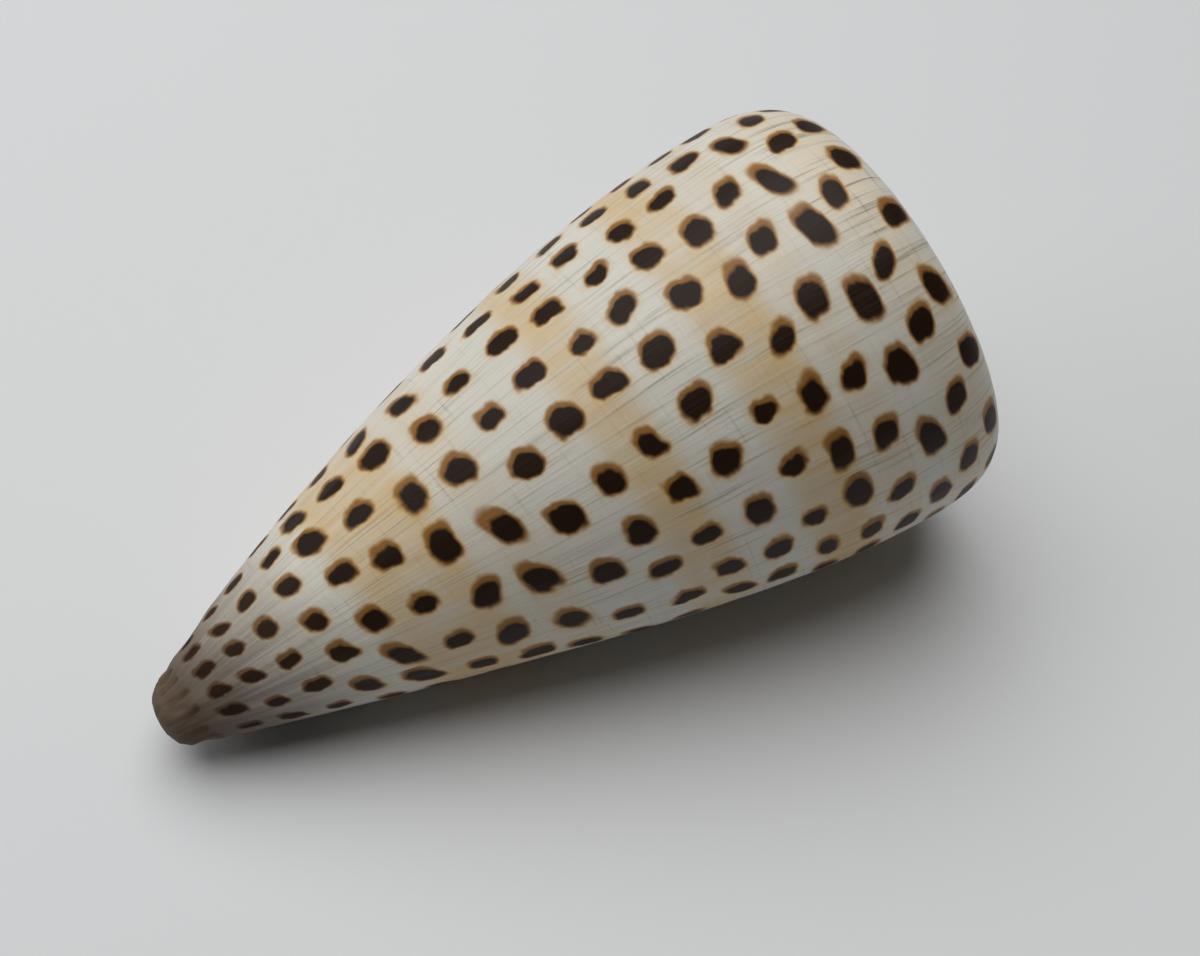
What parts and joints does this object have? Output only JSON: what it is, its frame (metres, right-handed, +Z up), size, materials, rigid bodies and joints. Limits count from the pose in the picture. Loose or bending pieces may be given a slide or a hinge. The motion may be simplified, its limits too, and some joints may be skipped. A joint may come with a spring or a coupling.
{
  "type": "cone shell",
  "caption": "Spotted sea-snail shell shaped as a cone, lying on its side with its narrow mouth turned down.",
  "frame": {"origin": "on the table, under the middle of the shell's bounding box", "axes": "+X from the narrow end to the spire, +Z up, away from the table"},
  "size_m": [0.1004, 0.0542, 0.0516],
  "materials": {
    "shell": "glossy ivory with rows of dark brown spots over soft tan bands"
  },
  "bodies": {
    "root": {"shell": "shell"}
  },
  "joints": []
}
